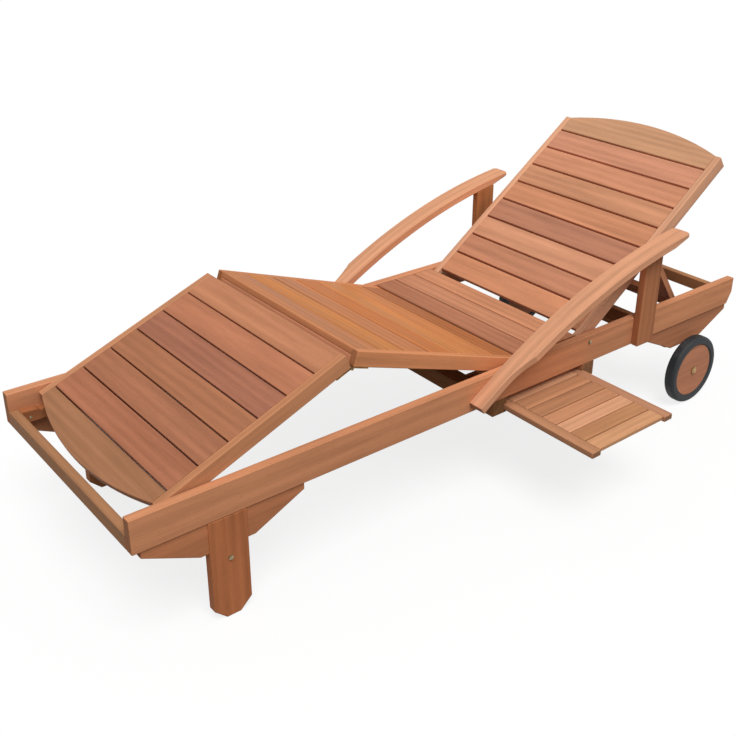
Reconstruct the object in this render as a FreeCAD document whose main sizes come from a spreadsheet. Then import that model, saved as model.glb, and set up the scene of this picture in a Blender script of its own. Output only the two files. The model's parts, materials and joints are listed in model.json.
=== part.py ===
# A slatted wooden sun lounger: rail frame, reclining back with a prop, knee lift, side tray and two wheels
# X runs from foot to head, Y across (the tray draws out towards -Y), Z up. Sizes are in millimetres.
import FreeCAD, Part
import math
import os
import re
import Sketcher
from FreeCAD import Placement, Rotation, Vector

doc = FreeCAD.newDocument("sun_lounger")
sheet = doc.addObject("Spreadsheet::Sheet", "Sizes")

# Driving sizes of the side rails and what stands under them
rail_sizes = {
    "rail_length": 2000,
    "rail_depth": 82,
    "rail_thickness": 24,
    "rail_top": 340,
    "outer_width": 650,
    "head_cut_run": 20,
    "head_cut_rise": 36,
    "edge_round": 2.5,
    "crossbar_thickness": 22,
    "crossbar_height": 42,
    "foot_crossbar_height": 37,
    "rear_crossbar_lead": 193.5,
    "block_length": 386,
    "block_thickness": 20,
    "block_drop": 78,
    "block_flat": 132,
    "block_end": 18,
    "foot_block_distance": 212,
    "leg_width": 92,
    "leg_thickness": 24,
    "leg_lap": 10,
    "sole_length": 34,
    "sole_rise": 28,
    "stretcher_height": 40,
    "stretcher_thickness": 24,
    "stretcher_centre": 153,
    "head_stretcher_drop": 6,
    "bolt_radius": 4,
    "bolt_length": 42,
    "bolt_head_radius": 5.6,
    "bolt_head_height": 2.5,
    "bolt_clearance": 0.05,
}

# Driving sizes of the arms and their posts
arm_sizes = {
    "arm_radius": 1700,
    "arm_front_angle": 35,
    "arm_length": 819,
    "arm_front_distance": 1112,
    "arm_front_height": 288,
    "arm_width": 60,
    "arm_thickness": 22,
    "arm_front_width": 43,
    "arm_front_run": 95,
    "arm_shoulder_run": 95,
    "arm_tip_run": 66,
    "arm_tip_thickness": 8,
    "arm_round": 3,
    "arm_tip_round": 14,
    "arm_bolt_inset": 35,
    "post_lead": 626,
    "post_width": 70,
    "post_thickness": 22,
    "post_bolt_spacing": 36,
}

# Driving sizes of the slatted panels
panel_sizes = {
    "panel_depth": 38,
    "stile_width": 20,
    "side_gap": 4,
    "slat_thickness": 16,
    "arch_rise": 45,
    "pivot_radius": 5,
    "pivot_clearance": 0.05,
    "pivot_depth": 19,
    "pivot_end_gap": 2,
    "washer_radius": 10,
    "washer_gap": 0.3,
    "seat_pivot_gap": 30,
    "seat_slat_width": 67,
    "seat_slat_gap": 4,
    "seat_slat_count": 3,
    "ledger_height": 38,
    "ledger_thickness": 24,
    "thigh_pivot_gap": 17,
    "thigh_angle": 19.2,
    "thigh_tail": 10,
    "thigh_slat_gap": 5,
    "thigh_slat_count": 7,
    "thigh_slat_inset": 2,
    "knee_rail_width": 18,
    "knee_gap": 3,
    "knuckle_radius": 4,
    "hinge_pin_radius": 2,
    "leaf_length": 45,
    "leaf_thickness": 2.5,
    "leaf_clear": 5,
    "knuckle_share": 9.4,
    "knuckle_gap": 0.3,
    "calf_stile_length": 503,
    "calf_toe_gap": 6,
    "calf_rest_height": 33,
    "calf_foot_depth": 35.6,
    "calf_slat_gap": 3.2,
    "calf_slat_thickness": 22,
    "calf_slat_count": 6,
    "knee_rack_thickness": 22,
    "knee_rack_height": 26,
    "knee_rack_clearance": 0.5,
    "knee_rack_land": 12,
    "knee_rack_slope": 0.06,
    "knee_notch_depth": 5,
    "knee_notch_pitch": 18,
    "knee_rack_tail": 40,
}

# Driving sizes of the back and its prop
back_sizes = {
    "back_pivot_distance": 670,
    "back_angle": 35.8,
    "back_tail": 10,
    "back_stile_length": 682,
    "back_slat_inset": 9,
    "back_top_depth": 54.2,
    "back_slat_gap": 5.5,
    "back_slat_count": 8,
    "prop_pivot_reach": 350,
    "prop_pivot_depth": 28,
    "prop_length": 290,
    "prop_foot_height": 25,
    "prop_thickness": 18,
    "prop_arm_width": 45,
    "prop_gap": 3,
    "prop_foot_width": 54,
    "prop_edge_gap": 0.2,
    "prop_bolt_radius": 4,
    "rack_clearance": 2.1,
    "rack_width": 45,
    "rack_reach_foot": 104,
    "rack_end_gap": 2,
    "rack_notch_depth": 6,
    "rack_notch_pitch": 44,
    "rack_notch_count": 4,
    "rack_notches_below": 2,
    "rack_notch_run": 22,
    "rack_notch_rise": 5,
}

# Driving sizes of the side tray and its runners
tray_sizes = {
    "tray_lead": 79,
    "tray_length": 304,
    "tray_reach": 622,
    "tray_depth": 485,
    "tray_top": 240,
    "tray_thickness": 16,
    "tray_stile_width": 30,
    "tray_slat_thickness": 12,
    "tray_slat_width": 44,
    "tray_slat_gap": 3.6,
    "tray_slat_count": 10,
    "tray_slat_inset": 6,
    "runner_width": 48,
    "runner_height": 42,
    "runner_groove": 10,
    "runner_side_gap": 1,
    "runner_rest_gap": 0.3,
    "runner_top_gap": 1,
}

# Driving sizes of the wheels and their axle
wheel_sizes = {
    "axle_distance": 214,
    "axle_radius": 6,
    "axle_clearance": 0.05,
    "wheel_radius": 106,
    "wheel_width": 34,
    "wheel_gap": 12,
    "wheel_end_gap": 0.3,
    "tyre_height": 25,
    "tyre_round": 10,
    "disc_recess": 4,
    "hub_radius": 17,
    "cap_radius": 11,
    "cap_height": 7,
    "hanger_width": 38,
    "hanger_end": 20,
    "hanger_bend": 8,
    "hanger_lean": 40,
    "hanger_lap": 10,
}

# Sizes worked out from the driving ones
derived_sizes = {
    "rail_outer": "outer_width / 2",
    "rail_inner": "rail_outer - rail_thickness",
    "rail_bottom": "rail_top - rail_depth",
    "arm_outer": "rail_outer + arm_width",
    "origin_x": "rail_length / 2",
    "origin_y": "(tray_reach - arm_outer) / 2",
    "pivot_z": "rail_top - pivot_depth",
    "stile_outer": "rail_inner - side_gap",
    "stile_inner": "stile_outer - stile_width",
    "stile_low": "pivot_depth - panel_depth",
    "slat_low": "pivot_depth - slat_thickness",
    "arch_radius": "(stile_inner ^ 2 + arch_rise ^ 2) / (2 * arch_rise)",
    "foot_block_centre": "foot_block_distance",
    "head_block_centre": "rail_length - axle_distance",
    "block_bottom": "rail_bottom - block_drop",
    "post_start": "rail_length - arm_front_distance + post_lead",
    "post_bolt_x": "post_start + post_width / 2",
    "post_bolt_low": "rail_bottom + (rail_depth - post_bolt_spacing) / 2",
    "arm_sweep": "arm_length / arm_radius * 180 / pi",
    "arm_centre_x": "rail_length - arm_front_distance + arm_radius * sin(arm_front_angle * 1deg)",
    "arm_centre_z": "arm_front_height - arm_radius * cos(arm_front_angle * 1deg)",
    "arm_inside_radius": "arm_radius - arm_thickness",
    "arm_step": "arm_width - arm_front_width",
    "arm_shoulder_radius": "(arm_shoulder_run ^ 2 + arm_step ^ 2) / (2 * arm_step)",
    "arm_tip_angle": "arm_sweep - arm_tip_run / arm_inside_radius * 180 / pi",
    "arm_bolt_radius": "arm_radius - arm_thickness / 2",
    "arm_bolt_angle": "arm_front_angle - arm_bolt_inset / arm_bolt_radius * 180 / pi",
    "arm_bolt_x": "arm_centre_x - arm_bolt_radius * sin(arm_bolt_angle * 1deg)",
    "arm_bolt_z": "arm_centre_z + arm_bolt_radius * cos(arm_bolt_angle * 1deg)",
    "back_pivot_x": "rail_length - back_pivot_distance",
    "seat_length": "seat_slat_count * (seat_slat_width + seat_slat_gap) - seat_slat_gap",
    "seat_start": "back_pivot_x - seat_pivot_gap - seat_length",
    "thigh_pivot_x": "seat_start - thigh_pivot_gap",
    "thigh_length": "thigh_pivot_x - crossbar_thickness - calf_toe_gap - calf_stile_length - knee_gap",
    "thigh_slat_width": "(thigh_length + thigh_tail - 2 * thigh_slat_inset + thigh_slat_gap) / thigh_slat_count"
                        " - thigh_slat_gap",
    "knee_reach": "thigh_length + knee_gap / 2",
    "knee_drop": "panel_depth - pivot_depth + knuckle_radius",
    "knee_x": "thigh_pivot_x - knee_reach * cos(thigh_angle * 1deg) - knee_drop * sin(thigh_angle * 1deg)",
    "knee_z": "pivot_z + knee_reach * sin(thigh_angle * 1deg) - knee_drop * cos(thigh_angle * 1deg)",
    "calf_low": "knuckle_radius",
    "calf_top": "knuckle_radius + panel_depth",
    "calf_end": "knee_gap / 2 + calf_stile_length",
    "calf_radius": "sqrt(calf_end ^ 2 + calf_low ^ 2)",
    "calf_drop": "knee_z - rail_bottom - calf_rest_height",
    "calf_angle": "(atan(calf_low / calf_end) + asin(calf_drop / calf_radius)) / 1deg",
    "calf_slat_width": "(calf_stile_length - calf_foot_depth) / calf_slat_count - calf_slat_gap",
    "calf_foot_x": "knee_x - calf_end * cos(calf_angle * 1deg) - calf_low * sin(calf_angle * -1deg)",
    "calf_foot_z": "knee_z - calf_end * sin(calf_angle * 1deg) + calf_low * cos(calf_angle * 1deg)",
    "knee_rack_top": "calf_foot_z - knee_rack_clearance",
    "prop_drop": "prop_pivot_depth - pivot_depth",
    "prop_x": "back_pivot_x + prop_pivot_reach * cos(back_angle * 1deg) + prop_drop * sin(back_angle * 1deg)",
    "prop_z": "pivot_z + prop_pivot_reach * sin(back_angle * 1deg) - prop_drop * cos(back_angle * 1deg)",
    "back_slat_width": "(back_stile_length - back_slat_inset - back_top_depth) / back_slat_count - back_slat_gap",
    "prop_angle": "asin((prop_z - rail_bottom - prop_foot_height) / prop_length) / 1deg",
    "prop_foot_x": "prop_x + prop_length * cos(prop_angle * 1deg)",
    "prop_foot_z": "prop_z - prop_length * sin(prop_angle * 1deg)",
    "rear_crossbar_start": "prop_foot_x - rear_crossbar_lead",
    "prop_outer": "stile_inner - prop_gap",
    "rack_top": "prop_foot_z - prop_thickness / 2 - rack_clearance",
    "tray_start": "seat_start - tray_lead",
    "tray_end": "tray_start + tray_length",
    "tray_low": "tray_top - tray_thickness",
    "runner_bottom": "rail_bottom - runner_height",
    "groove_low": "tray_low - runner_rest_gap",
    "groove_high": "tray_top + runner_top_gap",
    "axle_x": "rail_length - axle_distance",
    "axle_z": "wheel_radius",
    "block_outer": "rail_inner + block_thickness",
    "leg_shoulder": "block_outer - leg_lap",
    "hanger_shoulder": "rail_inner + hanger_lap",
    "hanger_top_x": "axle_x + hanger_lean",
    "wheel_inner": "rail_outer + wheel_gap",
    "wheel_outer": "wheel_inner + wheel_width",
    "tyre_inside_radius": "wheel_radius - tyre_height",
    "axle_end": "wheel_outer - disc_recess + wheel_end_gap",
}

aliases = []


def fill_sheet():
    groups = [rail_sizes, arm_sizes, panel_sizes, back_sizes, tray_sizes, wheel_sizes, derived_sizes]
    for group in groups:
        for alias, content in group.items():
            row = len(aliases) + 1
            text = "=" + content if isinstance(content, str) else str(content)
            sheet.set(f"A{row}", alias.replace("_", " "))
            sheet.set(f"B{row}", text)
            sheet.setAlias(f"B{row}", alias)
            aliases.append(alias)
    doc.recompute()


def link(formula):
    return re.sub(r"[a-z][a-z_]+", lambda word: "Sizes." + word[0] if word[0] in aliases else word[0], formula)


def value(formula):
    return float(sheet.evalExpression(link(formula)))


def bind(thing, prop, formula):
    thing.setExpression(prop, link(formula))


# A carrier is where a group of pieces turns: its pivot and its angle about Y in the drawn pose
carriers = {
    "frame": ("0", "0", "0"),
    "backrest": ("back_pivot_x", "pivot_z", "-back_angle"),
    "prop": ("prop_x", "prop_z", "prop_angle"),
    "thigh": ("thigh_pivot_x", "pivot_z", "thigh_angle"),
    "calf": ("knee_x", "knee_z", "-calf_angle"),
}


def place(thing, carrier, y="0"):
    x, z, angle = carriers[carrier]
    thing.Placement = Placement(Vector(), Rotation(Vector(0, 1, 0), 1))
    bind(thing, "Placement.Base.x", f"{x} - origin_x")
    bind(thing, "Placement.Base.y", f"{y} + origin_y")
    bind(thing, "Placement.Base.z", z)
    bind(thing, "Placement.Rotation.Angle", angle)


nodes = []


def keep(thing):
    nodes.append(thing)
    return thing


def plane_of(body, role):
    return next(item for item in body.Origin.OriginFeatures if item.Role == role)


# Draws a closed outline; an entry with a third value ends in an arc of that radius that bulges outwards
def draw_outline(sketch, points):
    spots = [Vector(value(point[0]), value(point[1])) for point in points]
    arcs = [point[2] if len(point) > 2 else None for point in points]
    for index, spot in enumerate(spots):
        following = spots[(index + 1) % len(spots)]
        if arcs[index]:
            radius = value(arcs[index])
            half = (following - spot) * 0.5
            outward = Vector(half.y, -half.x, 0).normalize()
            rise = radius - math.sqrt(radius ** 2 - half.Length ** 2)
            middle = spot + half + outward * rise
            sketch.addGeometry(Part.Arc(spot, middle, following))
        else:
            sketch.addGeometry(Part.LineSegment(spot, following))
    constraints = []
    formulas = []
    for index, point in enumerate(points):
        before = (index - 1) % len(points)
        spot = spots[index]
        geometry = sketch.Geometry[index]
        first = 1 if geometry.StartPoint.distanceToPoint(spot) < 1e-6 else 2
        earlier = sketch.Geometry[before]
        last = 2 if earlier.EndPoint.distanceToPoint(spot) < 1e-6 else 1
        constraints.append(Sketcher.Constraint("Coincident", before, last, index, first))
        formulas.append(None)
        constraints.append(Sketcher.Constraint("DistanceX", -1, 1, index, first, spot.x))
        formulas.append(point[0])
        constraints.append(Sketcher.Constraint("DistanceY", -1, 1, index, first, spot.y))
        formulas.append(point[1])
        if arcs[index]:
            constraints.append(Sketcher.Constraint("Radius", index, value(arcs[index])))
            formulas.append(arcs[index])
    start = sketch.ConstraintCount
    sketch.addConstraint(constraints)
    for offset, formula in enumerate(formulas):
        if formula:
            bind(sketch, f"Constraints[{start + offset}]", formula)


def draw_hole(sketch, x, y, radius):
    centre = Vector(value(x), value(y))
    index = sketch.addGeometry(Part.Circle(centre, Vector(0, 0, 1), value(radius)))
    start = sketch.ConstraintCount
    sketch.addConstraint([
        Sketcher.Constraint("DistanceX", -1, 1, index, 3, centre.x),
        Sketcher.Constraint("DistanceY", -1, 1, index, 3, centre.y),
        Sketcher.Constraint("Radius", index, value(radius)),
    ])
    for offset, formula in enumerate((x, y, radius)):
        bind(sketch, f"Constraints[{start + offset}]", formula)


def round_edges(body, feature, names, radius):
    fillet = body.newObject("PartDesign::Fillet", body.Label + "_round")
    fillet.Base = (feature, names)
    bind(fillet, "Radius", radius)
    doc.recompute()
    return fillet


# Straight and arched edges of a solid, without the rims of its holes
def board_edges(shape, chosen=lambda edge: True):
    names = []
    for index, edge in enumerate(shape.Edges):
        if not edge.isClosed() and chosen(edge):
            names.append(f"Edge{index + 1}")
    return names


# A sawn board: its outline lies in its carrier's X-Z plane (or X-Y plane) and is padded along the third axis
def board(label, carrier, points, start, width, holes=(), soft="edge_round", side="XZ_Plane", ends=None):
    body = doc.addObject("PartDesign::Body", label)
    sketch = body.newObject("Sketcher::SketchObject", label + "_outline")
    sketch.AttachmentSupport = (plane_of(body, side), [""])
    sketch.MapMode = "FlatFace"
    draw_outline(sketch, points)
    for hole in holes:
        draw_hole(sketch, *hole)
    pad = body.newObject("PartDesign::Pad", label + "_pad")
    pad.Profile = sketch
    bind(pad, "Length", width)
    if side == "XZ_Plane":
        pad.Reversed = True
        place(body, carrier, start)
    else:
        bind(sketch, "AttachmentOffset.Base.z", start)
        place(body, carrier)
    doc.recompute()
    last = pad
    if ends:
        last = round_edges(body, last, board_edges(last.Shape, ends[0]), ends[1])
    if soft:
        def sharp(edge):
            return not ends or not near_rounding(edge, last)
        names = board_edges(last.Shape, sharp)
        round_edges(body, last, names, soft)
    return body


# Edges that already border a rounded face are left alone
def near_rounding(edge, feature):
    for face in feature.Shape.Faces:
        if isinstance(face.Surface, Part.Cylinder):
            if any(edge.isSame(other) for other in face.Edges):
                return True
    return False


def rectangle(x_low, x_high, z_low, z_high):
    return [(x_low, z_low), (x_high, z_low), (x_high, z_high), (x_low, z_high)]


sides = ("left", "right")


# The lower Y of a piece whose inner face is this far from the centre plane
def side_start(side, inner, thickness):
    return f"-({inner}) - ({thickness})" if side == "left" else inner


def group(label, pieces):
    compound = doc.addObject("Part::Compound", label)
    compound.Links = pieces
    return keep(compound)


def upside_down(point):
    return point[0], f"-({point[1]})"


# The mirror image of an outline; each arc stays with its own stretch
def flipped(outline, mirrored=upside_down):
    points = [mirrored(point) for point in outline]
    arcs = [tuple(point[2:]) for point in outline]
    return [points[index] + arcs[index - 1] for index in reversed(range(len(points)))]


# A turned piece along Y: its half outline is given as radius and distance along Y
def turned(label, carrier, outline, x, z, start, flip=False):
    body = doc.addObject("PartDesign::Body", label)
    sketch = body.newObject("Sketcher::SketchObject", label + "_outline")
    sketch.AttachmentSupport = (plane_of(body, "XY_Plane"), [""])
    sketch.MapMode = "FlatFace"
    draw_outline(sketch, flipped(outline) if flip else outline)
    turn = body.newObject("PartDesign::Revolution", label + "_turn")
    turn.Profile = sketch
    turn.ReferenceAxis = (sketch, ["V_Axis"])
    turn.Angle = 360
    spot_x, spot_z, angle = carriers[carrier]
    tilt = f"({angle}) * 1deg"
    place(body, carrier, start)
    bind(body, "Placement.Base.x", f"{spot_x} - origin_x + ({x}) * cos({tilt}) + ({z}) * sin({tilt})")
    bind(body, "Placement.Base.z", f"{spot_z} - ({x}) * sin({tilt}) + ({z}) * cos({tilt})")
    doc.recompute()
    return body


def build_rails():
    outline = [
        ("0", "rail_bottom"),
        ("rail_length - head_cut_run", "rail_bottom"),
        ("rail_length", "rail_bottom + head_cut_rise"),
        ("rail_length", "rail_top"),
        ("0", "rail_top"),
    ]
    holes = [
        ("back_pivot_x", "pivot_z", "pivot_radius + pivot_clearance"),
        ("thigh_pivot_x", "pivot_z", "pivot_radius + pivot_clearance"),
        ("post_bolt_x", "post_bolt_low", "bolt_radius + bolt_clearance"),
        ("post_bolt_x", "post_bolt_low + post_bolt_spacing", "bolt_radius + bolt_clearance"),
        ("arm_bolt_x", "arm_bolt_z", "bolt_radius + bolt_clearance"),
    ]
    for side in sides:
        start = side_start(side, "rail_inner", "rail_thickness")
        keep(board(f"side_rail_{side}", "frame", outline, start, "rail_thickness", holes))


def build_crossbars():
    top = "rail_bottom + crossbar_height"
    outlines = {
        "foot_crossbar": rectangle("0", "crossbar_thickness", "rail_bottom", "rail_bottom + foot_crossbar_height"),
        "rear_crossbar": rectangle("rear_crossbar_start", "rear_crossbar_start + crossbar_thickness",
                                   "rail_bottom", top),
        "head_crossbar": [
            ("rail_length - crossbar_thickness", "rail_bottom"),
            ("rail_length", "rail_bottom + head_cut_rise"),
            ("rail_length", top),
            ("rail_length - crossbar_thickness", top),
        ],
    }
    for label, outline in outlines.items():
        keep(board(label, "frame", outline, "-rail_inner", "2 * rail_inner"))


def build_blocks():
    for place_name in ("foot", "head"):
        centre = f"{place_name}_block_centre"
        outline = [
            (f"{centre} - block_length / 2", "rail_bottom - block_end"),
            (f"{centre} - block_flat / 2", "block_bottom"),
            (f"{centre} + block_flat / 2", "block_bottom"),
            (f"{centre} + block_length / 2", "rail_bottom - block_end"),
            (f"{centre} + block_length / 2", "rail_bottom"),
            (f"{centre} - block_length / 2", "rail_bottom"),
        ]
        for side in sides:
            start = side_start(side, "rail_inner", "block_thickness")
            label = f"{place_name}_block_{side}"
            blank = board(label + "_blank", "frame", outline, start, "block_thickness")
            if place_name == "head":
                cut = lap_cut(label, blank, side, "hanger_top_x", "hanger_width", "rail_inner", "hanger_shoulder")
            else:
                cut = lap_cut(label, blank, side, "foot_block_centre", "leg_width", "leg_shoulder", "block_outer")
            keep(cut)


# Takes a half lap out of a blank over the block's height; inner and outer are distances from the centre plane
def lap_cut(label, blank, side, centre, width, inner, outer):
    thickness = f"{outer} - {inner}"
    recess = doc.addObject("Part::Box", label + "_recess")
    bind(recess, "Length", width)
    bind(recess, "Width", thickness)
    bind(recess, "Height", "block_drop")
    bind(recess, "Placement.Base.x", f"{centre} - {width} / 2 - origin_x")
    bind(recess, "Placement.Base.y", f"{side_start(side, inner, thickness)} + origin_y")
    bind(recess, "Placement.Base.z", "block_bottom")
    cut = doc.addObject("Part::Cut", label)
    cut.Base = blank
    cut.Tool = recess
    doc.recompute()
    return cut


def build_legs():
    centre = "foot_block_centre"
    outline = [
        (f"{centre} - sole_length / 2", "0"),
        (f"{centre} + sole_length / 2", "0"),
        (f"{centre} + leg_width / 2", "sole_rise"),
        (f"{centre} + leg_width / 2", "rail_bottom"),
        (f"{centre} - leg_width / 2", "rail_bottom"),
        (f"{centre} - leg_width / 2", "sole_rise"),
    ]
    holes = [(centre, "stretcher_centre", "bolt_radius + bolt_clearance")]
    for side in sides:
        label = f"front_leg_{side}"
        start = side_start(side, "rail_inner", "leg_thickness")
        blank = board(label + "_blank", "frame", outline, start, "leg_thickness", holes)
        keep(lap_cut(label, blank, side, centre, "leg_width", "rail_inner", "leg_shoulder"))
    low = "stretcher_centre - stretcher_height / 2"
    outline = rectangle(f"{centre} - stretcher_thickness / 2", f"{centre} + stretcher_thickness / 2",
                        low, f"{low} + stretcher_height")
    holes = [(centre, "stretcher_centre", "bolt_radius + bolt_clearance")]
    keep(board("leg_stretcher", "frame", outline, "-rail_inner", "2 * rail_inner", holes))
    front = "head_block_centre - block_flat / 2"
    low = "block_bottom - head_stretcher_drop"
    outline = rectangle(front, f"{front} + stretcher_thickness", low, f"{low} + stretcher_height")
    keep(board("head_stretcher", "frame", outline, "-rail_inner", "2 * rail_inner"))


def build_arms():
    for side in sides:
        label = f"arm_{side}"
        body = doc.addObject("PartDesign::Body", label)
        sketch = body.newObject("Sketcher::SketchObject", label + "_outline")
        sketch.AttachmentSupport = (plane_of(body, "XY_Plane"), [""])
        sketch.MapMode = "FlatFace"
        draw_outline(sketch, rectangle("arm_inside_radius", "arm_radius", "0", "arm_width"))
        bow = body.newObject("PartDesign::Revolution", label + "_bow")
        bow.Profile = sketch
        bow.ReferenceAxis = (sketch, ["V_Axis"])
        bind(bow, "Angle", "arm_sweep")
        body.Placement = Placement(Vector(), Rotation(Vector(0, 1, 0), -1))
        bind(body, "Placement.Base.x", "arm_centre_x - origin_x")
        bind(body, "Placement.Base.y", f"{side_start(side, 'rail_outer', 'arm_width')} + origin_y")
        bind(body, "Placement.Base.z", "arm_centre_z")
        bind(body, "Placement.Rotation.Angle", "-90 - arm_front_angle")
        doc.recompute()
        narrow_arm(body, label, side)
        thin_tip(body, label)
        turn = "(arm_front_angle - arm_bolt_angle) * 1deg"
        hole = (f"arm_bolt_radius * cos({turn})", f"-arm_bolt_radius * sin({turn})")
        drilled = drill_from_rail(body, label, side, [hole], "arm_width")
        tips = board_edges(drilled.Shape, lambda edge: tip_edge(edge, drilled.Shape))
        tipped = round_edges(body, drilled, tips, "arm_tip_round")
        names = board_edges(tipped.Shape, lambda edge: not smooth_edge(edge, tipped.Shape))
        round_edges(body, tipped, names, "arm_round")
        keep(body)


def cut_through(body, label, role, outline, reverse):
    sketch = body.newObject("Sketcher::SketchObject", label + "_outline")
    sketch.AttachmentSupport = (plane_of(body, role), [""])
    sketch.MapMode = "FlatFace"
    draw_outline(sketch, outline)
    pocket = body.newObject("PartDesign::Pocket", label + "_pocket")
    pocket.Profile = sketch
    pocket.Type = 1
    pocket.Reversed = reverse
    doc.recompute()
    return pocket


# Towards its foot the arm loses part of its width on the outer side, behind a hollow shoulder
def narrow_arm(body, label, side):
    past = "arm_thickness"
    shoulder_end = "-arm_front_run - arm_shoulder_run"
    outline = [
        ("0", shoulder_end, "arm_shoulder_radius"),
        ("arm_step", "-arm_front_run"),
        ("arm_step", past),
        (f"-{past}", past),
        (f"-{past}", shoulder_end),
    ]
    if side == "right":
        outline = flipped(outline, lambda point: (f"arm_width - ({point[0]})", point[1]))
    cut_through(body, label + "_foot_cut", "YZ_Plane", outline, True)


# Behind the post the underside rises, so that the arm ends in a thin tip
def thin_tip(body, label):
    corners = [
        ("arm_inside_radius", "arm_tip_angle"),
        ("(arm_radius - arm_tip_thickness)", "(arm_sweep + 0.2)"),
        ("(arm_inside_radius - arm_thickness)", "(arm_sweep + 0.2)"),
    ]
    outline = [(f"{reach} * cos({turn} * 1deg)", f"-{reach} * sin({turn} * 1deg)") for reach, turn in corners]
    cut_through(body, label + "_tip_cut", "XZ_Plane", outline, False)


# An edge where two faces meet without a corner
def smooth_edge(edge, shape):
    middle = edge.valueAt((edge.FirstParameter + edge.LastParameter) / 2)
    faces = shape.ancestorsOfType(edge, Part.Face)
    normals = [face.normalAt(*face.Surface.parameter(middle)) for face in faces]
    return len(normals) == 2 and normals[0].getAngle(normals[1]) < math.radians(3)


# Blind holes from the rail side take the bolts that hold an arm's foot or a post
def drill_from_rail(body, label, side, spots, width):
    sketch = body.newObject("Sketcher::SketchObject", label + "_bolt_holes")
    sketch.AttachmentSupport = (plane_of(body, "XZ_Plane"), [""])
    sketch.MapMode = "FlatFace"
    for x, z in spots:
        draw_hole(sketch, x, z, "bolt_radius + bolt_clearance")
    pocket = body.newObject("PartDesign::Pocket", label + "_bolt_pocket")
    pocket.Profile = sketch
    bind(pocket, "Length", "bolt_length - rail_thickness + bolt_head_height")
    if side == "left":
        bind(sketch, "AttachmentOffset.Base.z", f"-{width}")
        pocket.Reversed = True
    doc.recompute()
    return pocket


# Short edges across the board's thickness at the rear end of the arm's bow
def tip_edge(edge, shape):
    middle = edge.CenterOfMass
    local = Vector(middle.x, 0, middle.z)
    swept = math.degrees(math.atan2(-local.z, local.x))
    return edge.Length < value("arm_thickness") + 1 and abs(swept - value("arm_sweep")) < 0.5


def build_posts():
    top = "arm_centre_z + sqrt(arm_inside_radius ^ 2 - ({} - arm_centre_x) ^ 2)"
    rear = "post_start + post_width"
    outline = [
        ("post_start", "rail_bottom"),
        (rear, "rail_bottom"),
        (rear, top.format(f"({rear})")),
        ("post_start", top.format("post_start")),
    ]
    bolts = [("post_bolt_x", "post_bolt_low"), ("post_bolt_x", "post_bolt_low + post_bolt_spacing")]
    for side in sides:
        label = f"arm_post_{side}"
        body = board(label, "frame", outline, side_start(side, "rail_outer", "post_thickness"), "post_thickness")
        drill_from_rail(body, label, side, bolts, "post_thickness")
        keep(body)


def build_seat():
    low = "rail_top - slat_thickness"
    ledger = rectangle("seat_start", "seat_start + seat_length", f"{low} - ledger_height", low)
    for side in sides:
        start = side_start(side, "rail_inner - ledger_thickness", "ledger_thickness")
        keep(board(f"seat_ledger_{side}", "frame", ledger, start, "ledger_thickness"))
    for index in range(int(value("seat_slat_count"))):
        begin = f"seat_start + {index} * (seat_slat_width + seat_slat_gap)"
        outline = rectangle(begin, f"{begin} + seat_slat_width", low, "rail_top")
        label = ("seat_slat_front", "seat_slat_middle", "seat_slat_rear")[index]
        keep(board(label, "frame", outline, "-stile_outer", "2 * stile_outer"))


def slat_row(label, carrier, count, begin, width, gap, low, high):
    slats = []
    for index in range(int(value(count))):
        start = f"{begin} + {index} * ({width} + {gap})"
        outline = rectangle(start, f"{start} + {width}", low, high)
        slats.append(board(f"{label}_{index + 1}", carrier, outline, "-stile_inner", "2 * stile_inner"))
    return group(label, slats)


def build_backrest():
    outline = rectangle("-back_tail", "back_stile_length", "stile_low", "pivot_depth")
    holes = [
        ("0", "0", "pivot_radius + pivot_clearance"),
        ("prop_pivot_reach", "-prop_drop", "prop_bolt_radius + pivot_clearance"),
    ]
    for side in sides:
        start = side_start(side, "stile_inner", "stile_width")
        keep(board(f"back_stile_{side}", "backrest", outline, start, "stile_width", holes))
    slat_row("back_slats", "backrest", "back_slat_count", "back_slat_inset", "back_slat_width", "back_slat_gap",
             "slat_low", "pivot_depth")
    begin = "back_stile_length - back_top_depth"
    outline = [
        (begin, "-stile_inner"),
        ("back_stile_length", "-stile_inner", "arch_radius"),
        ("back_stile_length", "stile_inner"),
        (begin, "stile_inner"),
    ]
    keep(board("back_top_slat", "backrest", outline, "slat_low", "slat_thickness", side="XY_Plane"))


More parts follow.
